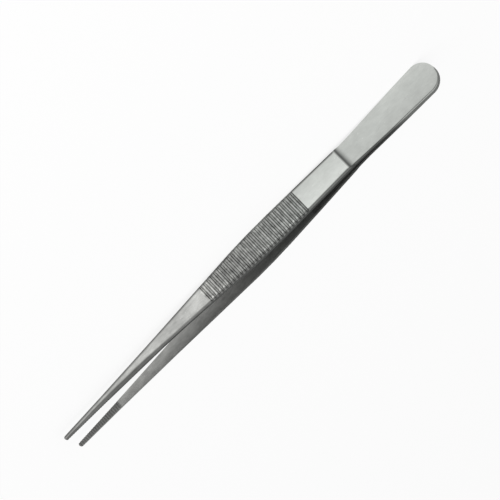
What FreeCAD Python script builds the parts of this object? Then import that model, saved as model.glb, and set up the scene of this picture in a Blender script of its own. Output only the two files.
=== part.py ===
"""Plain thumb forceps, 145 mm long, as a parametric document.

Two forged spring arms are welded face to face at the butt end and lean away from each other towards the
tips. Both arms are shaped the same way. Two blanks with bevelled edges are lofted end to end, one for the
paddle and spring and a higher one for the grip, shank and jaw, and each has a round end. The inner and the
outer face are then milled to the side profile, which thins the paddle towards the butt end and cuts the
concave shoulder in front of the raised thumb plate. Cross ribs are cut into the grip, and fine teeth into
the inner face of the jaw.

An arm is drawn along +X from the butt end, with its width along Y, and Z is the distance from the plane
where the two arms meet. The finished forceps lie on their side, as they come to rest: on the flanks of both
paddles and both grips, with the butt end towards -X, the tips towards +X, the front arm towards -Y, and the
origin on the table under the middle of the bounding box.
"""

import FreeCAD, Part
import math
import os
import Sketcher

SIZES = [
    ("length", 145.0, "overall length of an arm, from the butt end to the tip"),
    ("weld_length", 17.3, "the arms touch each other from the butt end to here"),
    ("lean_angle", 4.0, "angle between an arm and the meeting plane, in degrees"),
    ("bend_gap", 0.9, "from the end of the bend where the arms part to the end of the spring"),
    ("knee_station", 99.0, "where the leaning arm turns to run along the meeting plane"),
    ("knee_radius", 426.0, "bend at the knee"),
    ("jaw_lean_angle", 0.5, "angle of the jaw's inner face to the meeting plane, in degrees"),
    ("butt_thickness", 1.0, "thickness at the butt end"),
    ("spring_thickness", 1.38, "thickness from the end of the butt's taper to the shoulder"),
    ("taper_gap", 3.0, "from the end of the butt's taper to the end of the weld"),
    ("taper_radius", 120.0, "bend where the taper ends"),
    ("grip_thickness", 1.88, "thickness of the thumb plate at the shoulder"),
    ("knee_thickness", 1.45, "thickness at the knee"),
    ("tip_thickness", 1.12, "thickness at the tip"),
    ("shoulder_station", 36.2, "top edge of the shoulder, where the thumb plate starts"),
    ("shoulder_angle", 24.0, "slope of the shoulder's riser, in degrees"),
    ("shoulder_radius", 3.5, "concave radius at the foot of the shoulder"),
    ("shoulder_run", 2.0, "from the end of the spring to the shoulder's top edge"),
    ("waist_run", 6.2, "from the waist to the shoulder's top edge"),
    ("spring_run", 8.0, "from the spring station to the waist"),
    ("paddle_width", 9.6, "width of the round butt end"),
    ("taper_width", 8.95, "width where the butt's taper ends"),
    ("spring_width", 8.4, "width at the spring station"),
    ("waist_width", 7.6, "width at the waist"),
    ("foot_width", 7.35, "width at the end of the spring"),
    ("first_groove_station", 52.5, "middle of the first cross groove"),
    ("plate_width", 7.95, "width at the first cross groove"),
    ("swell_share", 0.277, "place of the grip's widest spot, as a share of the ribbed length"),
    ("swell_width", 8.2, "width at the widest spot"),
    ("fall_share", 0.471, "place where the grip starts to narrow, as a share of the ribbed length"),
    ("fall_width", 8.1, "width there"),
    ("flank_share", 0.637, "place on the narrowing part of the grip, as a share of the ribbed length"),
    ("flank_width", 7.65, "width there"),
    ("neck_width", 5.9, "width at the last cross groove"),
    ("knee_width", 4.6, "width at the knee"),
    ("shank_run", 8.0, "from the knee to the station on the shank"),
    ("shank_width", 3.75, "width at the shank station"),
    ("jaw_length", 16.4, "length of the toothed jaw, measured from the tip"),
    ("jaw_width", 2.12, "width where the toothed jaw starts"),
    ("tip_width", 1.2, "width of the round tip"),
    ("spring_bevel_width", 0.2, "width of the bevel along the paddle and the spring"),
    ("spring_bevel_depth", 0.15, "depth of that bevel"),
    ("foot_bevel_width", 0.12, "width of the spring's bevel where it ends"),
    ("foot_bevel_depth", 0.08, "depth of the bevel there"),
    ("plate_bevel_width", 0.4, "width of the bevel along the thumb plate and the grip"),
    ("plate_bevel_depth", 0.34, "depth of that bevel"),
    ("neck_bevel_width", 0.66, "width of the shank's bevel"),
    ("neck_bevel_depth", 0.34, "depth of the shank's bevel"),
    ("tip_bevel_width", 0.26, "width of the bevel at the tip"),
    ("tip_bevel_depth", 0.38, "depth of the bevel at the tip"),
    ("nose_radius", 0.95, "rounding of the tip's outer end, seen from the side"),
    ("nose_land", 0.1, "least height of the end wall that this rounding leaves"),
    ("nose_overrun", 0.24, "how far the rounding would end past the tip"),
    ("rib_count", 26, "number of whole ribs on the grip"),
    ("rib_spacing", 1.386, "distance from rib to rib along the grip"),
    ("groove_mouth", 1.0, "width of a cross groove at the grip's face"),
    ("groove_floor", 0.34, "width of a cross groove at its bottom"),
    ("groove_depth", 0.42, "depth of a cross groove"),
    ("rib_end_width", 1.3, "width of the bevel that runs along the ends of the ribs"),
    ("rib_end_depth", 0.36, "depth of that bevel"),
    ("tooth_spacing", 0.75, "distance from tooth to tooth on the jaw"),
    ("tooth_gap_mouth", 0.52, "width of the notch between two teeth"),
    ("tooth_depth", 0.2, "depth of that notch"),
    ("mill_allowance", 0.25, "stock on a blank above its finished outer face"),
    ("stock", 1.0, "how far blanks and cutters reach past the arm elsewhere"),
]

GRIP_RUN = "(sizes.knee_station - sizes.shoulder_station)"
JAW_RUN = "(sizes.length - sizes.knee_station)"
GRIP_SLOPE = f"(tan(sizes.lean_angle) - (sizes.grip_thickness - sizes.knee_thickness) / {GRIP_RUN})"
JAW_SLOPE = f"(tan(sizes.jaw_lean_angle) - (sizes.knee_thickness - sizes.tip_thickness) / {JAW_RUN})"
FOOT = "(sizes.shoulder_station - sizes.shoulder_run)"
BEND_RADIUS = f"(({FOOT} - sizes.bend_gap - sizes.weld_length) / sin(sizes.lean_angle))"
OUTER_BEND_RADIUS = f"({BEND_RADIUS} - sizes.spring_thickness)"
PARTING = f"(sizes.weld_length + {BEND_RADIUS} * tan(sizes.lean_angle / 2))"
INNER_KNEE = f"((sizes.knee_station - {PARTING}) * tan(sizes.lean_angle))"
OUTER_KNEE = f"({INNER_KNEE} + sizes.knee_thickness)"
KNEE_TURN = f"(atan({GRIP_SLOPE}) - atan({JAW_SLOPE}))"
ROUNDED_KNEE = f"({OUTER_KNEE} - sizes.knee_radius * (1 / cos({KNEE_TURN} / 2) - 1))"
RIBBED_LENGTH = "(sizes.rib_count * sizes.rib_spacing * cos(sizes.lean_angle))"

BUTT = "(sizes.paddle_width / 2)"
TAPER_END = "(sizes.weld_length - sizes.taper_gap)"
WAIST = "(sizes.shoulder_station - sizes.waist_run)"
SPRING = f"({WAIST} - sizes.spring_run)"
PLATE = "sizes.first_groove_station"
SWELL = f"({PLATE} + sizes.swell_share * {RIBBED_LENGTH})"
FALL = f"({PLATE} + sizes.fall_share * {RIBBED_LENGTH})"
FLANK = f"({PLATE} + sizes.flank_share * {RIBBED_LENGTH})"
NECK = f"({PLATE} + {RIBBED_LENGTH})"
KNEE = "sizes.knee_station"
SHANK = "(sizes.knee_station + sizes.shank_run)"
JAW = "(sizes.length - sizes.jaw_length)"
TIP = "(sizes.length - sizes.tip_width / 2)"

BEFORE_BUTT = "-sizes.stock"
PAST_TIP = "(sizes.length + sizes.nose_overrun)"
OUTSIDE = "2 * sizes.stock"
SKY = f"({OUTER_KNEE} + {OUTSIDE})"


def butt_height(station):
    """Height of the paddle's outer face over a station before the end of its taper."""
    slope = f"(sizes.spring_thickness - sizes.butt_thickness) / {TAPER_END}"
    return f"(sizes.butt_thickness + {station} * {slope})"


def spring_height(station):
    """Height of the spring's outer face over a station on the bend where the arms part."""
    return f"({BEND_RADIUS} - sqrt({OUTER_BEND_RADIUS}^2 - ({station} - sizes.weld_length)^2))"


def grip_height(station):
    """Height of the grip's outer face over a station before the knee."""
    return f"({OUTER_KNEE} - (sizes.knee_station - {station}) * {GRIP_SLOPE})"


def shank_height(station):
    """Height of the shank's outer face over a station past the knee."""
    return f"({OUTER_KNEE} + ({station} - sizes.knee_station) * {JAW_SLOPE})"


def jaw_height(station):
    """Height of the inner face over a station past the knee."""
    return f"({INNER_KNEE} + ({station} - sizes.knee_station) * tan(sizes.jaw_lean_angle))"


def make_sheet(document):
    """Spreadsheet with one named cell for every driving dimension."""
    sheet = document.addObject("Spreadsheet::Sheet", "sizes")
    for row, (name, value, meaning) in enumerate(SIZES, start=1):
        sheet.set(f"A{row}", name)
        sheet.set(f"B{row}", str(value))
        sheet.set(f"C{row}", meaning)
        sheet.setAlias(f"B{row}", name)
    document.recompute()
    return sheet


class Drawing:
    """Sketch on one of its body's origin planes, whose points are held by expressions on the sheet."""

    def __init__(self, body, name, plane, station=None, height=None, slope=None):
        self.sketch = body.newObject("Sketcher::SketchObject", name)
        roles = {feature.Role: feature for feature in body.Origin.OriginFeatures}
        self.sketch.AttachmentSupport = (roles[plane], [""])
        self.sketch.MapMode = "FlatFace"
        if plane == "YZ_Plane":
            self.sketch.setExpression("AttachmentOffset.Base.z", station)
        elif station is not None:
            self.sketch.setExpression("AttachmentOffset.Base.x", station)
            self.sketch.setExpression("AttachmentOffset.Base.y", height)
            self.sketch.setExpression("AttachmentOffset.Rotation.Angle", f"atan({slope})")

    def value(self, expression):
        """Number that an expression on the sheet stands for."""
        result = self.sketch.evalExpression(expression)
        return float(getattr(result, "Value", result))

    def hold(self, kind, geometry, expression):
        """Dimension of a kind on some geometry, driven by an expression."""
        constraint = Sketcher.Constraint(kind, *geometry, self.value(expression))
        index = self.sketch.addConstraint(constraint)
        self.sketch.setExpression(f"Constraints[{index}]", expression)

    def pin(self, curve, end, x, y):
        """Hold one end of a curve at a place given by two expressions."""
        for kind, axis, expression in (("DistanceX", -2, x), ("DistanceY", -1, y)):
            if expression == "0":
                self.sketch.addConstraint(Sketcher.Constraint("PointOnObject", curve, end, axis))
            elif self.value(expression) < 0:
                self.hold(kind, (curve, end, -1, 1), f"-({expression})")
            else:
                self.hold(kind, (-1, 1, curve, end), expression)

    def outline(self, corners):
        """Closed outline of straight lines through corners.

        A corner is a pair of expressions, or has a third one for the radius that rounds it.
        """
        count = len(corners)
        points = [FreeCAD.Vector(self.value(c[0]), self.value(c[1]), 0) for c in corners]
        bends = [self.bend(points, i, corners[i]) for i in range(count)]
        lines = []
        for i in range(count):
            line = Part.LineSegment(bends[i][1], bends[(i + 1) % count][0])
            lines.append(self.sketch.addGeometry(line, False))
        for i, corner in enumerate(corners):
            before = lines[i - 1]
            after = lines[i]
            if len(corner) == 2:
                self.sketch.addConstraint(Sketcher.Constraint("Coincident", before, 2, after, 1))
                self.pin(after, 1, *corner)
                continue
            self.round_corner(before, after, points[i], bends[i], corner)

    def bend(self, points, index, corner):
        """Ends of the lines that meet at a corner, with the centre of its arc and the sense of its turn."""
        place = points[index]
        if len(corner) == 2:
            return place, place, place, 0
        along = (place - points[index - 1]).normalize()
        onward = (points[(index + 1) % len(points)] - place).normalize()
        sense = 1 if along.cross(onward).z > 0 else -1
        radius = self.value(corner[2])
        reach = radius * math.tan(along.getAngle(onward) / 2)
        centre = place - along * reach + FreeCAD.Vector(-along.y, along.x, 0) * (sense * radius)
        return place - along * reach, place + onward * reach, centre, sense

    def round_corner(self, before, after, place, bend, corner):
        """Arc of a given radius, tangent to the two lines that meet at a pinned corner."""
        first, last, centre, sense = bend
        start, end = (first, last) if sense > 0 else (last, first)
        circle = Part.Circle(centre, FreeCAD.Vector(0, 0, 1), self.value(corner[2]))
        low = math.atan2(start.y - centre.y, start.x - centre.x)
        high = math.atan2(end.y - centre.y, end.x - centre.x)
        if high < low:
            high += 2 * math.pi
        arc = self.sketch.addGeometry(Part.ArcOfCircle(circle, low, high), False)
        mark = self.sketch.addGeometry(Part.Point(place), True)
        near, far = (1, 2) if sense > 0 else (2, 1)
        self.pin(mark, 1, corner[0], corner[1])
        self.sketch.addConstraint(Sketcher.Constraint("PointOnObject", mark, 1, before))
        self.sketch.addConstraint(Sketcher.Constraint("PointOnObject", mark, 1, after))
        self.sketch.addConstraint(Sketcher.Constraint("Tangent", before, 2, arc, near))
        self.sketch.addConstraint(Sketcher.Constraint("Tangent", after, 1, arc, far))
        self.hold("Radius", (arc,), corner[2])


class Section:
    """Cross-section of a blank: its place, its width, its outer face's height and the bevel on its edges."""

    def __init__(self, name, station, width, height, bevel):
        self.name = name
        self.station = station
        self.width = f"sizes.{width}"
        self.height = height
        self.bevel_width = f"sizes.{bevel}_bevel_width"
        self.bevel_depth = f"sizes.{bevel}_bevel_depth"

    def right_half(self):
        """Right-hand corners, from the bottom up."""
        spread = f"{self.bevel_width} * (1 + sizes.mill_allowance / {self.bevel_depth})"
        return [
            (f"{self.width} / 2", "-sizes.stock"),
            (f"{self.width} / 2", f"{self.height} - {self.bevel_depth}"),
            (f"{self.width} / 2 - {spread}", f"{self.height} + sizes.mill_allowance"),
        ]

    def draw(self, body):
        """Sketch of the whole section, across the arm."""
        right = self.right_half()
        left = [(f"-({x})", y) for x, y in reversed(right)]
        drawing = Drawing(body, f"{self.name}Section", "YZ_Plane", self.station)
        drawing.outline(right + left)
        return drawing.sketch

    def draw_half(self, body):
        """Sketch of the right half alone, closed along the upright middle line."""
        right = self.right_half()
        drawing = Drawing(body, f"{self.name}EndProfile", "YZ_Plane", self.station)
        drawing.outline([("0", right[0][1]), *right, ("0", right[-1][1])])
        return drawing.sketch


SPRING_SECTIONS = [
    Section("Butt", BUTT, "paddle_width", butt_height(BUTT), "spring"),
    Section("TaperEnd", TAPER_END, "taper_width", "sizes.spring_thickness", "spring"),
    Section("Spring", SPRING, "spring_width", spring_height(SPRING), "spring"),
    Section("Waist", WAIST, "waist_width", spring_height(WAIST), "spring"),
    Section("Foot", FOOT, "foot_width", spring_height(FOOT), "foot"),
]
GRIP_SECTIONS = [
    Section("Shoulder", FOOT, "foot_width", grip_height(FOOT), "plate"),
    Section("Plate", PLATE, "plate_width", grip_height(PLATE), "plate"),
    Section("Swell", SWELL, "swell_width", grip_height(SWELL), "plate"),
    Section("Fall", FALL, "fall_width", grip_height(FALL), "plate"),
    Section("Flank", FLANK, "flank_width", grip_height(FLANK), "plate"),
    Section("Neck", NECK, "neck_width", grip_height(NECK), "neck"),
    Section("Knee", KNEE, "knee_width", ROUNDED_KNEE, "neck"),
    Section("Shank", SHANK, "shank_width", shank_height(SHANK), "neck"),
    Section("Jaw", JAW, "jaw_width", shank_height(JAW), "neck"),
    Section("Tip", TIP, "tip_width", shank_height(TIP), "tip"),
]
RIBBED_SECTIONS = GRIP_SECTIONS[1:6]


def loft_blank(body, name, sections):
    """Bevelled blank with straight walls from one section to the next."""
    sketches = [section.draw(body) for section in sections]
    blank = body.newObject("PartDesign::AdditiveLoft", name)
    blank.Profile = sketches[0]
    blank.Sections = sketches[1:]
    blank.Ruled = True


def round_end(body, name, section, reversed_turn):
    """Half turn of an end section about its own upright middle line."""
    turn = body.newObject("PartDesign::Revolution", name)
    turn.Profile = section.draw_half(body)
    turn.ReferenceAxis = (turn.Profile[0], ["V_Axis"])
    turn.Angle = 180
    turn.Reversed = reversed_turn


def cut(body, name, drawing):
    """Pocket through the whole width of the arm, to both sides of a side-view drawing."""
    pocket = body.newObject("PartDesign::Pocket", name)
    pocket.Profile = drawing.sketch
    pocket.SideType = "Symmetric"
    pocket.Type = "ThroughAll"
    return pocket


def mill_side_profile(body):
    """Trim the blanks to the side profile, seen along the width."""
    spring_rise = "(sizes.spring_thickness / cos(sizes.lean_angle))"
    step = f"(sizes.grip_thickness - {spring_rise})"
    hollow = f"(sizes.shoulder_station - {step} / (tan(sizes.shoulder_angle) - tan(sizes.lean_angle)))"
    hollow_height = f"(({hollow} - {PARTING}) * tan(sizes.lean_angle) + {spring_rise})"
    outer_parting = f"({PARTING} - sizes.spring_thickness * tan(sizes.lean_angle / 2))"
    nose_radius = "min(sizes.nose_radius; sizes.tip_thickness - sizes.nose_land)"
    drawing = Drawing(body, "SideProfile", "XZ_Plane")
    drawing.outline([
        (BEFORE_BUTT, "0"),
        (PARTING, "0", BEND_RADIUS),
        (KNEE, INNER_KNEE, "sizes.knee_radius"),
        (PAST_TIP, jaw_height(PAST_TIP)),
        (PAST_TIP, shank_height(PAST_TIP), nose_radius),
        (KNEE, OUTER_KNEE, "sizes.knee_radius"),
        ("sizes.shoulder_station", grip_height("sizes.shoulder_station")),
        (hollow, hollow_height, "sizes.shoulder_radius"),
        (outer_parting, "sizes.spring_thickness", OUTER_BEND_RADIUS),
        (TAPER_END, "sizes.spring_thickness", "sizes.taper_radius"),
        (BEFORE_BUTT, butt_height(f"({BEFORE_BUTT})")),
    ])
    drawing.outline([
        (f"-{OUTSIDE}", f"-{OUTSIDE}"),
        (f"sizes.length + {OUTSIDE}", f"-{OUTSIDE}"),
        (f"sizes.length + {OUTSIDE}", SKY),
        (f"-{OUTSIDE}", SKY),
    ])
    cut(body, "MilledFaces", drawing)


def bevel_rib_ends(body):
    """Wide bevel along the ends of the ribs, from the first cross groove to the last, on both sides."""
    fall = "(sizes.rib_end_depth / sizes.rib_end_width)"
    sketches = []
    for section in RIBBED_SECTIONS:
        inside = f"{section.width} / 2 - sizes.rib_end_width - sizes.mill_allowance / {fall}"
        outside = f"{section.width} / 2 + sizes.stock"
        drawing = Drawing(body, f"{section.name}RibEnd", "YZ_Plane", section.station)
        drawing.outline([
            (inside, f"{section.height} + sizes.mill_allowance"),
            (outside, f"{section.height} - sizes.rib_end_depth - sizes.stock * {fall}"),
            (outside, f"{section.height} + sizes.mill_allowance"),
        ])
        sketches.append(drawing.sketch)
    bevel = body.newObject("PartDesign::SubtractiveLoft", "RibEnds")
    bevel.Profile = sketches[0]
    bevel.Sections = sketches[1:]
    bevel.Ruled = True
    both = body.newObject("PartDesign::Mirrored", "RibEndsBothSides")
    both.Originals = [bevel]
    both.MirrorPlane = (sketches[0], ["V_Axis"])
    body.Tip = both


def repeat(body, name, pocket, drawing, count, spacing):
    """Copies of a pocket in a row along the level line of its own drawing."""
    row = body.newObject("PartDesign::LinearPattern", name)
    row.Originals = [pocket]
    row.Direction = (drawing.sketch, ["H_Axis"])
    row.setExpression("Length", f"({count} - 1) * {spacing}")
    row.setExpression("Occurrences", count)
    body.Tip = row


def cut_ribs(body):
    """Cross grooves that leave the ribs of the grip standing."""
    drawing = Drawing(body, "GrooveProfile", "XZ_Plane", PLATE, grip_height(PLATE), GRIP_SLOPE)
    flare = "(sizes.groove_mouth - sizes.groove_floor) / 2 * sizes.mill_allowance / sizes.groove_depth"
    drawing.outline([
        (f"-(sizes.groove_mouth / 2 + {flare})", "sizes.mill_allowance"),
        ("-sizes.groove_floor / 2", "-sizes.groove_depth"),
        ("sizes.groove_floor / 2", "-sizes.groove_depth"),
        (f"sizes.groove_mouth / 2 + {flare}", "sizes.mill_allowance"),
    ])
    groove = cut(body, "Groove", drawing)
    repeat(body, "Grooves", groove, drawing, "sizes.rib_count + 1", "sizes.rib_spacing")


def cut_teeth(body, first_notch):
    """Fine notches across the jaw's inner face, the first of them a share of the spacing past its start."""
    station = f"({JAW} + {first_notch} * sizes.tooth_spacing)"
    slope = "tan(sizes.jaw_lean_angle)"
    drawing = Drawing(body, "NotchProfile", "XZ_Plane", station, jaw_height(station), slope)
    flare = "sizes.tooth_gap_mouth / 2 * sizes.mill_allowance / sizes.tooth_depth"
    drawing.outline([
        (f"-(sizes.tooth_gap_mouth / 2 + {flare})", "-sizes.mill_allowance"),
        (f"sizes.tooth_gap_mouth / 2 + {flare}", "-sizes.mill_allowance"),
        ("0", "sizes.tooth_depth"),
    ])
    notch = cut(body, "Notch", drawing)
    count = "floor((sizes.jaw_length - sizes.tip_width / 2) / sizes.tooth_spacing)"
    repeat(body, "Notches", notch, drawing, count, "sizes.tooth_spacing")


def make_arm(document, label, first_notch):
    """One arm of the forceps, from the blanks to its teeth."""
    body = document.addObject("PartDesign::Body", f"{label}_body")
    body.Label = label
    loft_blank(body, "SpringBlank", SPRING_SECTIONS)
    round_end(body, "ButtEnd", SPRING_SECTIONS[0], False)
    loft_blank(body, "GripBlank", GRIP_SECTIONS)
    round_end(body, "TipEnd", GRIP_SECTIONS[-1], True)
    mill_side_profile(body)
    bevel_rib_ends(body)
    cut_ribs(body)
    cut_teeth(body, first_notch)
    document.recompute()
    return body


def lie_angle(sheet):
    """Angle by which the tips drop when the forceps lie on the flanks of the butt end and the grip."""
    butt_radius = sheet.paddle_width / 2
    angles = []
    for section in GRIP_SECTIONS:
        run = sheet.evalExpression(section.station) - butt_radius
        half_width = sheet.evalExpression(section.width) / 2
        reach = math.hypot(run, half_width)
        angles.append(math.asin(butt_radius / reach) - math.atan2(half_width, run))
    return math.degrees(min(angles))


def place_arms(front, back, sheet):
    """Lay the pair on its side on the table: lowest point at height 0, box centred on the origin."""
    lying = FreeCAD.Rotation(FreeCAD.Vector(0, 1, 0), lie_angle(sheet))
    front.Placement.Rotation = lying * FreeCAD.Rotation(FreeCAD.Vector(1, 0, 0), 90)
    back.Placement.Rotation = lying * FreeCAD.Rotation(FreeCAD.Vector(1, 0, 0), -90)
    boxes = [arm.Shape.optimalBoundingBox(True, False) for arm in (front, back)]
    middle_x = (min(box.XMin for box in boxes) + max(box.XMax for box in boxes)) / 2
    middle_y = (min(box.YMin for box in boxes) + max(box.YMax for box in boxes)) / 2
    shift = FreeCAD.Vector(-middle_x, -middle_y, -min(box.ZMin for box in boxes))
    for arm in (front, back):
        arm.Placement.Base = shift


def check(document, arms):
    """Stop if a feature failed or an arm isn't one valid solid."""
    for item in document.Objects:
        if "Invalid" in item.State or "Error" in item.State:
            raise RuntimeError(f"{item.Name} failed: {item.State}")
    for arm in arms:
        if arm.Shape.isNull() or not arm.Shape.isValid() or len(arm.Shape.Solids) != 1:
            raise RuntimeError(f"{arm.Label} isn't one valid solid")


def main():
    """Build the two arms, lay them on the table and write one file for each."""
    document = FreeCAD.newDocument("thumb_forceps")
    sheet = make_sheet(document)
    front = make_arm(document, "front_arm", 0.5)
    back = make_arm(document, "back_arm", 1)
    place_arms(front, back, sheet)
    document.recompute()
    check(document, (front, back))
    os.makedirs("parts", exist_ok=True)
    for arm in (front, back):
        arm.Shape.exportStep(f"parts/{arm.Label}.step")
        print(arm.Label, arm.Shape.Volume, arm.Shape.BoundBox)


main()
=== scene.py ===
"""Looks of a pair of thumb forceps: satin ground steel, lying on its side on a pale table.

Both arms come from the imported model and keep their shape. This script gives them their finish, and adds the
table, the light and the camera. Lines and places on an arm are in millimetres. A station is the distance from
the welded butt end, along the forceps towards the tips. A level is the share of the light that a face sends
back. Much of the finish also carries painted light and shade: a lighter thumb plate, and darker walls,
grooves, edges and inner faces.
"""

import logging
import math
from dataclasses import dataclass
from enum import Enum
from typing import Any, Mapping, Sequence

import bpy
from mathutils import Matrix, Vector


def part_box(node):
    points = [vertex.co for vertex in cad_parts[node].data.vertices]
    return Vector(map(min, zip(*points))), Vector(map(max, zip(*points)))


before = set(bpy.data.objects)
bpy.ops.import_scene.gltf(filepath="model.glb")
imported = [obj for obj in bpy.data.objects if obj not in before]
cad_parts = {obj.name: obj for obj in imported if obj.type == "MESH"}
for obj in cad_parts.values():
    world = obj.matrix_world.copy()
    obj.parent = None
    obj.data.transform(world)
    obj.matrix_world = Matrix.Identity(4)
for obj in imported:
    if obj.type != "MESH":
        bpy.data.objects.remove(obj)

log = logging.getLogger("forceps")
MILLIMETRE = 0.001
MICROMETRE = 0.000001
TO_MILLIMETRES = 1.0 / MILLIMETRE
WHITE = (1.0, 1.0, 1.0, 1.0)

# Stops are pairs of a place and the level there. A reach is where a change starts and where it ends.
Stops = Sequence[tuple[float, float]]
Reach = tuple[float, float]
Cell = tuple[float, float, float]
Tint = tuple[float, float, float]


def opaque_grey(level: float) -> tuple[float, float, float, float]:
    """Grey of a given level, as a plain colour."""
    return (level, level, level, 1.0)


class Side(Enum):
    """Side of the meeting plane that an arm lies on, as the sign of Y of its outer face."""

    FRONT = -1.0
    BACK = 1.0


class Value:
    """Number that varies over a surface: one output socket, on which arithmetic adds Math nodes."""

    def __init__(self, shader: "Shader", socket: bpy.types.NodeSocket) -> None:
        """Wrap an output socket of a shader."""
        self.shader = shader
        self.socket = socket

    def __add__(self, other: "Value | float") -> "Value":
        """Sum."""
        return self.shader.math("ADD", self, other)

    __radd__ = __add__

    def __mul__(self, other: "Value | float") -> "Value":
        """Product."""
        return self.shader.math("MULTIPLY", self, other)

    __rmul__ = __mul__

    def __sub__(self, other: "Value | float") -> "Value":
        """Difference."""
        return self.shader.math("SUBTRACT", self, other)

    def __rsub__(self, other: float) -> "Value":
        """Difference from a plain number."""
        return self.shader.math("SUBTRACT", other, self)

    def __truediv__(self, other: "Value | float") -> "Value":
        """Quotient."""
        return self.shader.math("DIVIDE", self, other)

    def __neg__(self) -> "Value":
        """Same size with the other sign."""
        return self * -1.0

    def __abs__(self) -> "Value":
        """Size without its sign."""
        return self.shader.math("ABSOLUTE", self)

    def step(self, low: float, high: float) -> "Value":
        """Smooth rise from 0 to 1.

        Args:
            low: Where the rise starts.
            high: Where it ends.

        Returns:
            The smooth step as a value.
        """
        inputs = {"Value": self, "From Min": low, "From Max": high, "To Min": 0.0, "To Max": 1.0}
        node = self.shader.add("ShaderNodeMapRange", {"interpolation_type": "SMOOTHSTEP"}, inputs)
        return Value(self.shader, node.outputs["Result"])

    def past(self, place: float, soft: float) -> "Value":
        """Smooth rise around a place, 0 before it and 1 past it. The rise is twice as wide as soft."""
        return self.step(place - soft, place + soft)

    def band(self, low: float, high: float, soft: float) -> "Value":
        """Strip between two places, 1 inside and 0 outside. Its soft edges are twice as wide as soft."""
        return self.past(low, soft) * (1.0 - self.past(high, soft))

    def curve(self, stops: Stops) -> "Value":
        """Straight stretches between stops, level before the first one and after the last one.

        A renderer may sample a ramp at 256 places, so a sharp border in a long curve needs a step or a band.

        Args:
            stops: Pairs of a place and the level there.

        Returns:
            The level as a value.
        """
        low, high = stops[0][0], stops[-1][0]
        top = max(level for _, level in stops)
        share = (self - low) * (1.0 / (high - low))
        shares = [((place - low) / (high - low), level / top) for place, level in stops]
        node = self.shader.add("ShaderNodeValToRGB", {"stops": shares}, {"Fac": share})
        return Value(self.shader, node.outputs["Color"]) * top

    def toward(self, other: "Value | float", share: "Value") -> "Value":
        """Blend to another value, of which share says how much, from 0 to 1."""
        return self + (other - self) * share


@dataclass(frozen=True)
class Pattern:
    """Irregular pattern on the steel, made of noise.

    Attributes:
        cell: Size of its cells along X, Y and Z, in millimetres.
        layers: Number of finer layers over the first one.
        keep: Strength of a finer layer, as a share of the layer before it.
    """

    cell: Cell
    layers: float
    keep: float = 0.55


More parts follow.
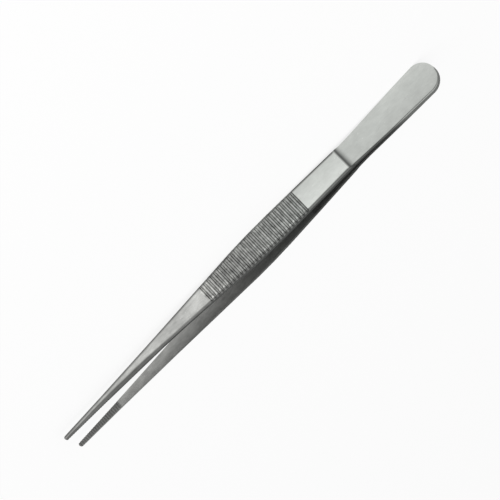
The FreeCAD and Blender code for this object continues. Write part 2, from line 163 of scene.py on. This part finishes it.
class Shader:
    """Node tree of one material or of the world, filled by one node-making method."""

    def __init__(self, owner: bpy.types.Material | bpy.types.World) -> None:
        """Empty the owner's node tree.

        Args:
            owner: The material or the world.
        """
        owner.use_nodes = True
        self.tree = owner.node_tree
        self.tree.nodes.clear()

    def add(self, kind: str, settings: Mapping[str, Any] | None = None,
            inputs: Mapping[int | str, Any] | None = None) -> bpy.types.Node:
        """Add one node.

        Args:
            kind: Type of the node.
            settings: Its settings, which are set first. "stops" fills a ramp.
            inputs: Values or links for its sockets, by name or number.

        Returns:
            The node.
        """
        node = self.tree.nodes.new(kind)
        for name, setting in (settings or {}).items():
            if name == "stops":
                self.fill_ramp(node.color_ramp, setting)
            else:
                setattr(node, name, setting)
        for name, item in (inputs or {}).items():
            self.plug(node.inputs[name], item)
        return node

    def plug(self, socket: bpy.types.NodeSocket, item: Any) -> None:
        """Give an input socket a link or a plain value.

        Args:
            socket: The input socket.
            item: A value or an output socket to link, or a plain number, vector or colour.
        """
        source = item.socket if isinstance(item, Value) else item
        if isinstance(source, bpy.types.NodeSocket):
            self.tree.links.new(source, socket)
        else:
            socket.default_value = source

    @staticmethod
    def fill_ramp(ramp: bpy.types.ColorRamp, stops: Stops) -> None:
        """Put grey stops on a new ramp.

        Args:
            ramp: The ramp.
            stops: Pairs of a place and the level there, both from 0 to 1.
        """
        while len(ramp.elements) < len(stops):
            ramp.elements.new(1.0)
        for element, (place, level) in zip(ramp.elements, stops):
            element.position = place
            element.color = opaque_grey(level)

    def math(self, operation: str, *items: Value | float) -> Value:
        """Result of a Math node, with values or plain numbers for its inputs."""
        node = self.add("ShaderNodeMath", {"operation": operation}, dict(enumerate(items)))
        return Value(self, node.outputs[0])

    def split(self, vector: bpy.types.NodeSocket) -> tuple[Value, Value, Value]:
        """Three components of a vector socket."""
        node = self.add("ShaderNodeSeparateXYZ", None, {0: vector})
        return tuple(Value(self, output) for output in node.outputs)

    def grey(self, level: Value) -> bpy.types.NodeSocket:
        """Grey colour of a varying level."""
        return self.add("ShaderNodeCombineColor", None, {0: level, 1: level, 2: level}).outputs[0]

    def mix_colours(self, blend: str, share: Value | float, base: Any, other: Any) -> bpy.types.NodeSocket:
        """Mix of two colours, each of them plain or a socket. The share of the blend is from 0 to 1."""
        # The node has sockets for numbers, vectors and colours. The colours use inputs 6 and 7 and output 2.
        settings = {"data_type": "RGBA", "blend_type": blend}
        return self.add("ShaderNodeMix", settings, {0: share, 6: base, 7: other}).outputs[2]

    def noise(self, place: bpy.types.NodeSocket, pattern: Pattern) -> Value:
        """Noise that follows a pattern.

        Args:
            place: Coordinates in metres.
            pattern: The pattern.

        Returns:
            The noise, from about -0.5 to 0.5.
        """
        stretch = tuple(1.0 / (size * MILLIMETRE) for size in pattern.cell)
        scaled = self.add("ShaderNodeVectorMath", {"operation": "MULTIPLY"}, {0: place, 1: stretch})
        layers = {"Scale": 1.0, "Detail": pattern.layers, "Roughness": pattern.keep}
        inputs = {"Vector": scaled.outputs[0], **layers}
        node = self.add("ShaderNodeTexNoise", {"noise_dimensions": "3D"}, inputs)
        return Value(self, node.outputs[0]) - 0.5

    def seen(self) -> Value:
        """Tell the rays of the eye and of reflections from the rays that carry light.

        Returns:
            1 for camera, glossy and transmission rays, and 0 for all others.
        """
        path = self.add("ShaderNodeLightPath")
        rays = [Value(self, path.outputs[f"Is {kind} Ray"]) for kind in ("Camera", "Glossy", "Transmission")]
        return self.math("MINIMUM", rays[0] + rays[1] + rays[2], 1.0)

    def by_ray(self, lighting: bpy.types.Node, shown: bpy.types.Node) -> bpy.types.NodeSocket:
        """Join one surface for the rays that carry light with one for the eye and for reflections."""
        inputs = {0: self.seen(), 1: lighting.outputs[0], 2: shown.outputs[0]}
        return self.add("ShaderNodeMixShader", None, inputs).outputs[0]


@dataclass(frozen=True)
class ArmLines:
    """Lines of an arm as it lies on its side.

    Attributes:
        plate_start: Station where the thumb plate starts.
        plate_end: Station where the plate ends and the grip starts.
        ribs_end: Station where the grip ends and the shank starts.
        teeth_start: Station where the teeth start.
        teeth_back: Distance from the meeting plane where the teeth end.
        seam: Half the width of the border between two finishes.
        middle_at_butt: Height of the arm's middle line at the butt end.
        middle_fall: Fall of that line for each millimetre towards the tips.
        grip_at_butt: Distance from the meeting plane to the plane of the rib tops, if it went on to the butt.
        grip_rise: Rise of that plane for each millimetre towards the tips.
        half_width: Half the width of the arm, by station.
        least_half_width: Half width that is taken where the round end is narrower.
        inner_face: Distance from the meeting plane to the inner face, by station.
    """

    plate_start: float = 36.15
    plate_end: float = 52.2
    ribs_end: float = 89.4
    teeth_start: float = 128.6
    teeth_back: float = 5.85
    seam: float = 0.12
    middle_at_butt: float = 4.846
    middle_fall: float = 0.01142
    grip_at_butt: float = 0.358
    grip_rise: float = 0.06308
    half_width: Stops = ((0.0, 0.0), (0.6, 2.3), (1.1, 3.0), (2.0, 3.89), (3.0, 4.43), (4.4, 4.76),
                         (10.0, 4.62), (22.0, 4.2), (34.0, 3.68), (58.0, 4.045), (66.0, 4.07), (74.0, 3.88),
                         (88.5, 2.95), (100.0, 2.245), (112.0, 1.685), (128.0, 1.08), (145.0, 0.59))
    least_half_width: float = 0.3
    inner_face: Stops = ((18.0, 0.0), (22.0, 0.05), (26.0, 0.16), (30.0, 0.35), (34.0, 0.6), (86.0, 4.24),
                         (94.0, 4.73), (104.0, 5.12), (128.0, 5.41), (145.0, 5.59))


class ArmPlace:
    """Where a point lies on an arm, and which way the surface faces there, as values of a shader.

    Attributes:
        point: The point itself, in metres.
        station: Its station.
        out: Distance from the meeting plane.
        across: Place across the arm, from -1 at the lower edge to 1 at the upper one.
        to_top: Distance to the upper edge.
        to_bottom: Distance to the lower edge.
        from_inside: Distance from the inner face.
        below_grip: Depth below the plane of the rib tops.
        faces_tips: How far the surface faces the tips, from -1 to 1.
        faces_out: How far it faces away from the meeting plane.
        faces_up: How far it faces up.
        on_plate: 1 between the start and the end of the thumb plate.
        on_ribs: 1 along the ribbed grip.
        on_shank: 1 past the grip.
        on_teeth: 1 on the teeth and between them.
    """

    def __init__(self, shader: Shader, side: Side, butt: float, lines: ArmLines) -> None:
        """Work the values out.

        Args:
            shader: The shader that they belong to.
            side: Side of the meeting plane that the arm lies on.
            butt: X of the butt end, in metres.
            lines: Lines of the arm.
        """
        self.point = shader.add("ShaderNodeTexCoord").outputs["Object"]
        along, out, height = shader.split(self.point)
        self.station = (along - butt) * TO_MILLIMETRES
        self.out = abs(out) * TO_MILLIMETRES
        middle = lines.middle_at_butt - self.station * lines.middle_fall
        half = self.station.curve(lines.half_width)
        above = height * TO_MILLIMETRES - middle
        self.across = above / shader.math("MAXIMUM", half, lines.least_half_width)
        self.to_top = half - above
        self.to_bottom = half + above
        self.from_inside = self.out - self.station.curve(lines.inner_face)
        self.below_grip = self.station * lines.grip_rise + lines.grip_at_butt - self.out

        normal = shader.add("ShaderNodeNewGeometry").outputs["Normal"]
        self.faces_tips, facing_back, self.faces_up = shader.split(normal)
        self.faces_out = facing_back * side.value

        self.on_plate = self.station.band(lines.plate_start, lines.plate_end, lines.seam)
        self.on_ribs = self.station.band(lines.plate_end, lines.ribs_end, lines.seam)
        self.on_shank = self.station.past(lines.ribs_end, lines.seam)
        before_back = 1.0 - self.out.past(lines.teeth_back, lines.seam)
        self.on_teeth = self.station.past(lines.teeth_start, lines.seam) * before_back


@dataclass(frozen=True)
class SatinFace:
    """Outer face: paddle, shoulder, thumb plate and shank, with painted light and shade.

    Attributes:
        paddle: Level of the paddle.
        plate: Level of the thumb plate, set lighter than the paddle as painted light.
        shank: Level of the shank, by station.
        paddle_light_tilt: Painted light: share that the paddle loses from its middle to its upper edge, by
            station.
        plate_light_tilt: Painted light: share that the plate gains from its middle to its upper edge.
        shoulder_shade: Painted shade on the concave shoulder, as a factor by station.
        lower_edge_shade: Depth of the painted shade line along the lower edge, by station.
        lower_shade_reach: Distances from that edge where the painted shade starts to fade and where it has
            gone.
        upper_bevel: How far up a bevel faces where its painted shade starts, and where it is full.
        upper_bevel_shade: Depth of that painted shade.
    """

    paddle: float = 0.54
    # Painted light: the thumb plate is set lighter than the paddle, for its slight tilt towards the light.
    plate: float = 0.646
    shank: Stops = ((89.0, 0.60), (92.0, 0.575), (95.0, 0.52), (99.0, 0.48), (107.0, 0.53), (113.0, 0.53),
                    (122.0, 0.52), (130.0, 0.50), (138.0, 0.40), (145.0, 0.36))
    paddle_light_tilt: Stops = ((0.0, 0.11), (15.0, 0.09), (32.0, 0.03))
    plate_light_tilt: float = 0.12
    shoulder_shade: Stops = ((33.7, 1.0), (34.1, 0.94), (34.4, 0.83), (34.7, 0.7), (35.0, 0.52),
                             (35.25, 0.34), (35.5, 0.2), (35.75, 0.22), (35.95, 0.6), (36.2, 1.0))
    # Painted shade along the lower edge, by station.
    lower_edge_shade: Stops = ((35.9, 0.0), (36.4, 0.8), (51.8, 0.8), (52.4, 0.45), (72.0, 0.45), (78.0, 0.6),
                         (88.8, 0.5), (89.4, 0.65), (145.0, 0.6))
    lower_shade_reach: Reach = (0.25, 0.95)
    upper_bevel: Reach = (0.3, 0.45)
    upper_bevel_shade: float = 0.62

    def level(self, at: ArmPlace) -> Value:
        """Level of the outer face outside the grip, with its painted light and shade.

        Args:
            at: Where the point lies.

        Returns:
            The level.
        """
        # Painted light across the paddle and the plate, and painted shade on the shoulder.
        paddle = (1.0 - at.across * at.station.curve(self.paddle_light_tilt)) * self.paddle
        plate = (1.0 + at.across * self.plate_light_tilt) * self.plate
        level = paddle.toward(plate, at.on_plate).toward(at.station.curve(self.shank), at.on_shank)
        return level * at.station.curve(self.shoulder_shade)

    def edge_shade(self, at: ArmPlace) -> Value:
        """Painted shade: a dark line along the lower edge of the plate, grip and shank, and a darker upper
        bevel.

        Args:
            at: Where the point lies.

        Returns:
            The factor for the level.
        """
        # Painted shade along the lower edge, and on the bevels that face up.
        beside = 1.0 - at.to_bottom.step(*self.lower_shade_reach)
        lower = 1.0 - beside * at.station.curve(self.lower_edge_shade)
        return lower * (1.0 - at.faces_up.step(*self.upper_bevel) * self.upper_bevel_shade)


@dataclass(frozen=True)
class RibbedGrip:
    """Cross ribs: bright tops with uneven wear, and painted shade in the grooves, darkest on flanks facing
    the butt.

    Attributes:
        first_rib: Station of the first rib's middle.
        pitch: Distance from rib to rib.
        land: Level of the flat rib tops, by station.
        floor: Level of the groove floors, darkened as painted shade.
        butt_flank: Level of the flanks that face the butt, darkest, as painted shade.
        tip_flank: Level of the flanks that face the tips, lighter, as painted light.
        groove_trend: Factor for the painted shade of the grooves and their flanks, by station.
        land_depth: Depths where a rib top starts to turn into its groove, and where it has turned.
        flank_slope: How far a face looks along the arm where it starts to be a flank, and where it is one.
        edge_share: Share of the painted shade band along the upper edge that shows on the grip.
        painted_ripple_depth: Strength of the ribs' painted light and shade on that band.
        waves: Pattern by which the border of a rib top wanders.
        waviness: How far it wanders.
        patches: Pattern of the wear.
        wear: Strength of the wear.
    """

    first_rib: float = 53.49
    pitch: float = 1.3895
    land: Stops = ((52.0, 0.41), (58.0, 0.4), (64.0, 0.385), (71.0, 0.365), (78.0, 0.3), (81.0, 0.315),
                   (83.5, 0.48), (89.4, 0.56))
    floor: float = 0.285
    butt_flank: float = 0.155
    tip_flank: float = 0.52
    groove_trend: Stops = ((52.0, 1.04), (58.0, 1.02), (64.0, 1.17), (71.0, 1.18), (78.0, 1.09), (81.0, 1.12),
                           (83.5, 1.22), (89.4, 1.35))
    land_depth: Reach = (0.04, 0.2)
    flank_slope: Reach = (0.3, 0.6)
    edge_share: float = 0.92
    painted_ripple_depth: float = 0.4
    waves: Pattern = Pattern((2.2, 4.0, 1.1), 1.0)
    waviness: float = 0.3
    patches: Pattern = Pattern((1.5, 4.0, 1.6), 2.0)
    wear: float = 1.8

    def level(self, shader: Shader, at: ArmPlace) -> Value:
        """Level of the ribs, with painted shade in the grooves.

        Args:
            shader: The shader of the arm.
            at: Where the point lies.

        Returns:
            The level.
        """
        depth = at.below_grip + shader.noise(at.point, self.waves) * self.waviness
        on_land = 1.0 - depth.step(*self.land_depth)
        wear = shader.noise(at.point, self.patches) * self.wear + 1.0
        # Painted shade in the grooves, lighter or darker by which way a flank faces.
        grooves = self.shade_grooves(at) * at.station.curve(self.groove_trend)
        return grooves.toward(at.station.curve(self.land), on_land) * wear

    def shade_grooves(self, at: ArmPlace) -> Value:
        """Painted light and shade of the groove floors, and of the flanks that face the tips and the butt.

        Args:
            at: Where the point lies.

        Returns:
            The level.
        """
        to_tips = at.faces_tips.step(*self.flank_slope)
        to_butt = (-at.faces_tips).step(*self.flank_slope)
        return (to_tips * (self.tip_flank - self.floor) + self.floor).toward(self.butt_flank, to_butt)

    def painted_rib_ripple(self, shader: Shader, at: ArmPlace) -> Value:
        """Factor that paints the ribs' light and shade on over their bevelled ends, brightest on each rib."""
        turn = (at.station - self.first_rib) * (2.0 * math.pi / self.pitch)
        return shader.math("COSINE", turn) * self.painted_ripple_depth + 1.0


@dataclass(frozen=True)
class InnerFace:
    """Inner face, with painted shade between the arms that lightens towards the jaws and the table, and the
    jaw's teeth.

    Attributes:
        shaded_levels: Level of the face, by station, darkened near the grip as painted shade between the
            arms.
        tilt: Painted shade: share that the face loses from its middle to its upper edge, by station.
        teeth: Level of the teeth, darker than the face as painted shade between them.
        facing: How far a face looks into the gap where it starts to be the inner face, and where it is one.
    """

    shaded_levels: Stops = ((0.0, 0.16), (60.0, 0.15), (66.0, 0.16), (72.0, 0.17), (80.0, 0.185), (87.0, 0.21),
                     (95.0, 0.245), (103.0, 0.27), (110.0, 0.285), (120.0, 0.305), (145.0, 0.32))
    tilt: Stops = ((80.0, 0.02), (95.0, 0.2), (108.0, 0.2), (122.0, 0.12))
    teeth: float = 0.195
    facing: Reach = (0.6, 0.9)

    def level(self, at: ArmPlace) -> Value:
        """Level of the inner face and of the teeth, with their painted shade."""
        # Painted shade: darker near the grip, towards the upper edge, and on the teeth.
        plain = at.station.curve(self.shaded_levels) * (1.0 - at.across * at.station.curve(self.tilt))
        return plain.toward(self.teeth, at.on_teeth)

    def cover(self, shader: Shader, at: ArmPlace) -> Value:
        """1 on the inner face and on the teeth."""
        return shader.math("MAXIMUM", (-at.faces_out).step(*self.facing), at.on_teeth)


@dataclass(frozen=True)
class ShadedFlank:
    """Ground side walls with painted shade, and a band of painted shade along the outer face's upper edge.

    Attributes:
        front: Level of the front arm's walls and upper edge band, by station, darkened as painted shade.
        back: Level of the back arm's, by station, darkened as painted shade.
        wall_lift: Factor that lightens the painted shade of the walls alone, by station.
        facing: How far a face looks out or in where a wall starts to fade, and where it has gone.
        inner_edge: Distances from the inner face where the painted shade beside the gap starts to fade, and
            has gone.
        inner_shade: Depth of that painted shade.
        inner_stretch: Stations where that shade starts and ends, and half the width of its soft ends.
        edge_width: Width of the painted shade band along the upper edge, by station.
        edge_softness: Shares of that width where the band starts to fade, and where it has gone.
    """

    front: Stops = ((0.0, 0.2), (15.0, 0.18), (20.0, 0.07), (26.0, 0.05), (34.0, 0.07), (38.0, 0.085),
                    (48.0, 0.09), (54.0, 0.09), (60.0, 0.1), (84.0, 0.1), (90.0, 0.09), (105.0, 0.082),
                    (112.0, 0.066), (124.0, 0.068), (134.0, 0.072), (145.0, 0.14))
    back: Stops = ((0.0, 0.2), (14.0, 0.18), (18.0, 0.08), (26.0, 0.07), (40.0, 0.075), (52.0, 0.08),
                   (66.0, 0.105), (90.0, 0.13), (120.0, 0.15), (145.0, 0.16))
    wall_lift: Stops = ((104.0, 1.0), (112.0, 1.45), (128.0, 1.55), (145.0, 1.25))
    facing: Reach = (0.3, 0.5)
    inner_edge: Reach = (0.1, 0.9)
    inner_shade: float = 0.45
    inner_stretch: tuple[float, float, float] = (20.0, 53.0, 3.0)
    edge_width: Stops = ((0.0, 0.28), (4.0, 0.38), (10.0, 0.44), (15.0, 0.46), (20.0, 0.42), (26.0, 0.47),
                         (36.0, 0.5), (36.6, 0.67), (51.7, 0.6), (52.6, 0.72), (66.0, 0.95), (74.0, 1.09),
                         (81.0, 1.04), (86.0, 0.8), (90.0, 0.6), (96.0, 0.58), (100.0, 0.54), (104.0, 0.58),
                         (110.0, 0.85), (116.0, 1.03), (127.0, 1.03), (134.0, 0.8), (139.0, 0.5),
                         (145.0, 0.3))
    edge_softness: Reach = (0.55, 1.3)

    def level(self, at: ArmPlace, side: Side) -> Value:
        """Painted shade of the walls and the upper edge band, darker towards the gap between the arms.

        Args:
            at: Where the point lies.
            side: Side of the meeting plane that the arm lies on.

        Returns:
            The level.
        """
        # Painted shade: the walls and the upper edge band are darkened by station, and more beside the gap.
        level = at.station.curve(self.front if side is Side.FRONT else self.back)
        beside_gap = at.station.band(*self.inner_stretch) * (1.0 - at.from_inside.step(*self.inner_edge))
        return level * (1.0 - beside_gap * self.inner_shade)

    def on_wall(self, at: ArmPlace) -> Value:
        """1 on the faces that look along the meeting plane."""
        return 1.0 - abs(at.faces_out).step(*self.facing)

    def on_edge(self, at: ArmPlace) -> Value:
        """1 on the band of painted shade along the upper edge of the outer face."""
        return 1.0 - (at.to_top / at.station.curve(self.edge_width)).step(*self.edge_softness)


@dataclass(frozen=True)
class SatinSteel:
    """Satin ground stainless steel of both arms, with painted light and shade.

    Attributes:
        face: Finish of the outer face, with its painted light and shade.
        ribs: Finish of the grip, with painted shade in its grooves.
        inside: Finish of the inner face and the teeth, with painted shade between the arms.
        flank: Painted shade of the side walls and of the band along the upper edge.
        butt_tint: Tint of the steel near the butt.
        tip_tint: Tint near the tips.
        tint_turn: Stations where the first tint starts to turn into the second, and where it has turned.
        edge_tint: Share of its reflection that the steel keeps where it is seen at a grazing angle.
        roughness: Roughness of the outer face and the walls.
        grip_roughness: Roughness of the grip.
        inside_roughness: Roughness of the inner face.
        teeth_roughness: Roughness of the teeth.
        streaks: Pattern of the streaks along the arm.
        clouds: Pattern of the clouds.
        scuffs: Pattern of the small scuffs.
        streak_depth: Strength of the streaks in the level.
        rough_streaks: Strength of the streaks in the roughness.
        cloud_depth: Strength of the clouds.
        scuff_depth: Brightness of the scuffs.
        scuff_onset: Heights of the pattern where a scuff starts to show, and where it is full.
        shank_gain: Gain of the streaks and clouds towards the shank, by station.
        long_grain: Pattern of the grinding lines along the arm.
        cross_grain: Pattern of the grinding lines across the ribs.
        grain_height: Height of the grinding lines, in metres.
    """

    face: SatinFace = SatinFace()
    ribs: RibbedGrip = RibbedGrip()
    inside: InnerFace = InnerFace()
    flank: ShadedFlank = ShadedFlank()
    butt_tint: Tint = (0.967, 1.0, 0.957)
    tip_tint: Tint = (0.993, 1.0, 0.967)
    tint_turn: Reach = (48.0, 88.0)
    edge_tint: float = 0.5
    roughness: float = 0.30
    grip_roughness: float = 0.36
    inside_roughness: float = 0.38
    teeth_roughness: float = 0.75
    streaks: Pattern = Pattern((2.2, 0.5, 0.5), 3.0)
    clouds: Pattern = Pattern((3.2, 2.5, 2.4), 2.0)
    scuffs: Pattern = Pattern((1.1, 0.5, 0.5), 1.0)
    streak_depth: float = 0.2
    rough_streaks: float = 0.12
    cloud_depth: float = 0.24
    scuff_depth: float = 0.22
    scuff_onset: Reach = (0.2, 0.3)
    shank_gain: Stops = ((60.0, 0.0), (92.0, 1.6))
    long_grain: Pattern = Pattern((2.5, 0.05, 0.05), 2.0)
    cross_grain: Pattern = Pattern((0.06, 0.06, 1.8), 2.0)
    grain_height: float = 1.2 * MICROMETRE

    def dress(self, name: str, side: Side, butt: float, lines: ArmLines) -> bpy.types.Material:
        """Material of one arm.

        Args:
            name: Name of the material.
            side: Side of the meeting plane that the arm lies on.
            butt: X of the butt end, in metres.
            lines: Lines of the arm.

        Returns:
            The material.
        """
        material = bpy.data.materials.new(name)
        shader = Shader(material)
        at = ArmPlace(shader, side, butt, lines)
        inner = self.inside.cover(shader, at)
        streaks = shader.noise(at.point, self.streaks)
        level = self.level(shader, at, side, inner) * self.wear(shader, at, streaks)
        rough = self.rough(at, inner, streaks)
        grain = {"Distance": self.grain_height, "Height": self.grain(shader, at)}
        bump = shader.add("ShaderNodeBump", None, grain).outputs[0]
        self.finish(shader, self.tint(shader, at), level, rough, bump)
        return material

    def level(self, shader: Shader, at: ArmPlace, side: Side, inner: Value) -> Value:
        """Level of the whole arm with its painted light and shade, without its wear.

        Args:
            shader: The shader of the arm.
            at: Where the point lies.
            side: Side of the meeting plane that the arm lies on.
            inner: 1 on the inner face and on the teeth.

        Returns:
            The level.
        """
        # Painted shade on the walls, the upper edge band, the grooves and the gap; painted light across the
        # outer face.
        flank = self.flank.level(at, side)
        outer = self.face.level(at).toward(self.ribs.level(shader, at), at.on_ribs)
        outer = outer * self.face.edge_shade(at)
        edge = self.flank.on_edge(at) * (1.0 - at.on_ribs * (1.0 - self.ribs.edge_share))
        outer = outer.toward(flank, edge)
        # The ribs' painted light and shade go on over the upper edge band.
        outer = outer.toward(outer * self.ribs.painted_rib_ripple(shader, at), edge * at.on_ribs)
        wall = flank * at.station.curve(self.flank.wall_lift)
        return outer.toward(self.inside.level(at), inner).toward(wall, self.flank.on_wall(at))

    def wear(self, shader: Shader, at: ArmPlace, streaks: Value) -> Value:
        """Streaks, clouds and small bright scuffs. Streaks and clouds are stronger on the shank and the jaws.

        Args:
            shader: The shader of the arm.
            at: Where the point lies.
            streaks: The streaks along the arm.

        Returns:
            The factor for the level.
        """
        clouds = shader.noise(at.point, self.clouds)
        scuffs = shader.noise(at.point, self.scuffs).step(*self.scuff_onset)
        gain = at.station.curve(self.shank_gain) + 1.0
        uneven = (clouds * self.cloud_depth + streaks * self.streak_depth) * gain
        return uneven + scuffs * self.scuff_depth + 1.0

    def rough(self, at: ArmPlace, inner: Value, streaks: Value) -> Value:
        """Roughness of the whole arm.

        Args:
            at: Where the point lies.
            inner: 1 on the inner face and on the teeth.
            streaks: The streaks along the arm.

        Returns:
            The roughness.
        """
        rough = streaks * self.rough_streaks + self.roughness
        rough = rough + at.on_ribs * (self.grip_roughness - self.roughness)
        rough = rough + inner * (self.inside_roughness - self.roughness)
        return rough + at.on_teeth * (self.teeth_roughness - self.inside_roughness)

    def grain(self, shader: Shader, at: ArmPlace) -> Value:
        """Grinding lines, along the arm and, on the ribs, across it.

        Args:
            shader: The shader of the arm.
            at: Where the point lies.

        Returns:
            The height of the lines.
        """
        along = shader.noise(at.point, self.long_grain)
        across = shader.noise(at.point, self.cross_grain)
        return along.toward(across, at.on_ribs)

    def tint(self, shader: Shader, at: ArmPlace) -> bpy.types.NodeSocket:
        """Tint of the steel, a little greener at the butt than at the tips."""
        turned = at.station.step(*self.tint_turn)
        return shader.mix_colours("MIX", turned, (*self.butt_tint, 1.0), (*self.tip_tint, 1.0))

    def finish(self, shader: Shader, tint: bpy.types.NodeSocket, level: Value, rough: Value,
               bump: bpy.types.NodeSocket) -> None:
        """Tint the level, and lead it with the roughness and the bump to the surface.

        Args:
            shader: The shader of the arm.
            tint: Tint of the steel.
            level: Share of the light that the surface sends back.
            rough: Roughness.
            bump: Normal from the grinding lines.
        """
        surface = shader.add("ShaderNodeBsdfPrincipled", None, {
            "Base Color": shader.mix_colours("MULTIPLY", 1.0, shader.grey(level), tint),
            "Metallic": 1.0,
            "Roughness": rough,
            "Specular Tint": opaque_grey(self.edge_tint),
            "Normal": bump,
        })
        shader.add("ShaderNodeOutputMaterial", None, {"Surface": surface.outputs[0]})


@dataclass(frozen=True)
class Forceps:
    """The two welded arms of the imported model, and their finish.

    Attributes:
        steel: Finish of both arms.
        lines: Lines of both arms.
        arms: Node and side of each arm.
    """

    steel: SatinSteel = SatinSteel()
    lines: ArmLines = ArmLines()
    arms: tuple[tuple[str, Side], ...] = (("front_arm", Side.FRONT), ("back_arm", Side.BACK))

    def build(self) -> None:
        """Dress both arms."""
        for node, side in self.arms:
            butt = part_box(node)[0][0]
            material = self.steel.dress(f"{node}_steel", side, butt, self.lines)
            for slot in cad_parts[node].material_slots:
                slot.material = material
            log.info("dressed %s", node)


@dataclass(frozen=True)
class Camera:
    """Camera with a long lens, turned so that the butt end points to the upper right of the picture.

    Attributes:
        azimuth: Turn of its line of sight from +Y towards +X, in degrees.
        elevation: Fall of its line of sight, in degrees.
        roll: Anticlockwise turn about its line of sight, in degrees.
        distance: Distance from the camera to the forceps, in metres.
        span: Width of the view at that distance, in metres.
        target_height: Height over the table's middle that the view is laid out from, in millimetres.
        offset: How far the view's middle lies to the right of that point and above it, in metres.
        nearest: Distance from the camera where its view starts, in metres.
    """

    azimuth: float = 5.236
    elevation: float = 20.604
    roll: float = 135.226
    distance: float = 1.5
    span: float = 138.54 * MILLIMETRE
    target_height: float = 4.7
    offset: tuple[float, float] = (-1.234 * MILLIMETRE, 2.1 * MILLIMETRE)
    nearest: float = 0.01

    def build(self) -> None:
        """Make the scene's camera."""
        azimuth, elevation, roll = (math.radians(a) for a in (self.azimuth, self.elevation, self.roll))
        forward = Vector((math.sin(azimuth) * math.cos(elevation), math.cos(azimuth) * math.cos(elevation),
                          -math.sin(elevation)))
        level_right = Vector((math.cos(azimuth), -math.sin(azimuth), 0.0))
        level_up = level_right.cross(forward)
        right = level_right * math.cos(roll) + level_up * math.sin(roll)
        up = level_up * math.cos(roll) - level_right * math.sin(roll)
        target = Vector((0.0, 0.0, self.target_height)) * MILLIMETRE
        middle = target + right * self.offset[0] + up * self.offset[1]
        data = bpy.data.cameras.new("camera")
        data.lens = data.sensor_width * self.distance / self.span
        data.clip_start = self.nearest
        camera = bpy.data.objects.new("camera", data)
        turn = Matrix((right, up, -forward)).transposed().to_4x4()
        camera.matrix_world = Matrix.Translation(middle - forward * self.distance) @ turn
        bpy.context.scene.collection.objects.link(camera)
        bpy.context.scene.camera = camera
        log.info("placed the camera")


@dataclass(frozen=True)
class Softbox:
    """Square area lamp that shines on the middle of the table.

    Attributes:
        name: Name of the lamp.
        place: Where its middle is, in metres.
        size: Length of its sides, in metres.
        level: Light that it gives the middle of the table, as a share of what an even white room gives.
    """

    name: str
    place: tuple[float, float, float]
    size: float
    level: float

    def build(self) -> None:
        """Make the lamp, with the power that its level needs."""
        data = bpy.data.lights.new(self.name, "AREA")
        data.size = self.size
        place = Vector(self.place)
        slant = place.normalized().z
        radiance = self.level * math.pi * place.length_squared / (self.size ** 2 * slant)
        data.energy = radiance * math.pi * self.size ** 2
        lamp = bpy.data.objects.new(self.name, data)
        lamp.location = place
        # A lamp shines along its own -Z.
        lamp.rotation_euler = place.to_track_quat("Z", "Y").to_euler()
        bpy.context.scene.collection.objects.link(lamp)
        log.info("placed the lamp %s", self.name)


@dataclass(frozen=True)
class Studio:
    """Pale table, even surroundings and soft lamps.

    Attributes:
        table_radius: Radius of the round table top, in metres.
        table_sides: Number of its sides.
        table_colour: Grey of the table in the light that it sends to other things.
        table_white: Grey of the table to the eye and in reflections.
        table_glow: Share of glow in it there, which keeps its shadows pale.
        room_light: Strength of the even light in the room.
        softboxes: The lamps.
    """

    table_radius: float = 3.0
    table_sides: int = 96
    table_colour: float = 0.75
    table_white: float = 0.98
    table_glow: float = 0.82
    room_light: float = 0.6
    softboxes: tuple[Softbox, ...] = (
        Softbox("key", (-0.3, -0.9, 0.8), 1.2, 0.25),
        Softbox("fill", (0.7, -0.8, 0.7), 1.2, 0.12),
    )

    def build(self) -> None:
        """Make the table, the room and the lamps."""
        self.lay_table()
        self.light_room()
        for softbox in self.softboxes:
            softbox.build()

    def lay_table(self) -> None:
        """Make the round table top."""
        angles = [2.0 * math.pi * index / self.table_sides for index in range(self.table_sides)]
        rim = [(math.cos(a) * self.table_radius, math.sin(a) * self.table_radius, 0.0) for a in angles]
        mesh = bpy.data.meshes.new("table")
        mesh.from_pydata(rim, [], [range(self.table_sides)])
        mesh.materials.append(self.table_top())
        table = bpy.data.objects.new("table", mesh)
        bpy.context.scene.collection.objects.link(table)
        log.info("laid the table")

    def table_top(self) -> bpy.types.Material:
        """Matt white, which glows to the eye and in reflections.

        Returns:
            The material.
        """
        material = bpy.data.materials.new("table_top")
        shader = Shader(material)
        matt, white = (shader.add("ShaderNodeBsdfDiffuse", None, {"Color": opaque_grey(level)})
                       for level in (self.table_colour, self.table_white))
        glow = shader.add("ShaderNodeEmission")
        shares = {0: self.table_glow, 1: white.outputs[0], 2: glow.outputs[0]}
        pale = shader.add("ShaderNodeMixShader", None, shares)
        shader.add("ShaderNodeOutputMaterial", None, {"Surface": shader.by_ray(matt, pale)})
        return material

    def light_room(self) -> None:
        """White surroundings for the eye and for reflections, and an even light for everything else."""
        world = bpy.data.worlds.new("room")
        bpy.context.scene.world = world
        shader = Shader(world)
        even, white = (shader.add("ShaderNodeBackground", None, {"Color": WHITE, "Strength": strength})
                       for strength in (self.room_light, 1.0))
        shader.add("ShaderNodeOutputWorld", None, {"Surface": shader.by_ray(even, white)})
        log.info("lit the room")


def main() -> None:
    """Build the object's looks, the studio and the camera."""
    logging.basicConfig(level=logging.INFO, format="%(name)s: %(message)s")
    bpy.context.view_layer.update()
    bpy.context.scene.view_settings.view_transform = "Standard"
    Forceps().build()
    Studio().build()
    Camera().build()


if __name__ == "__main__":
    main()
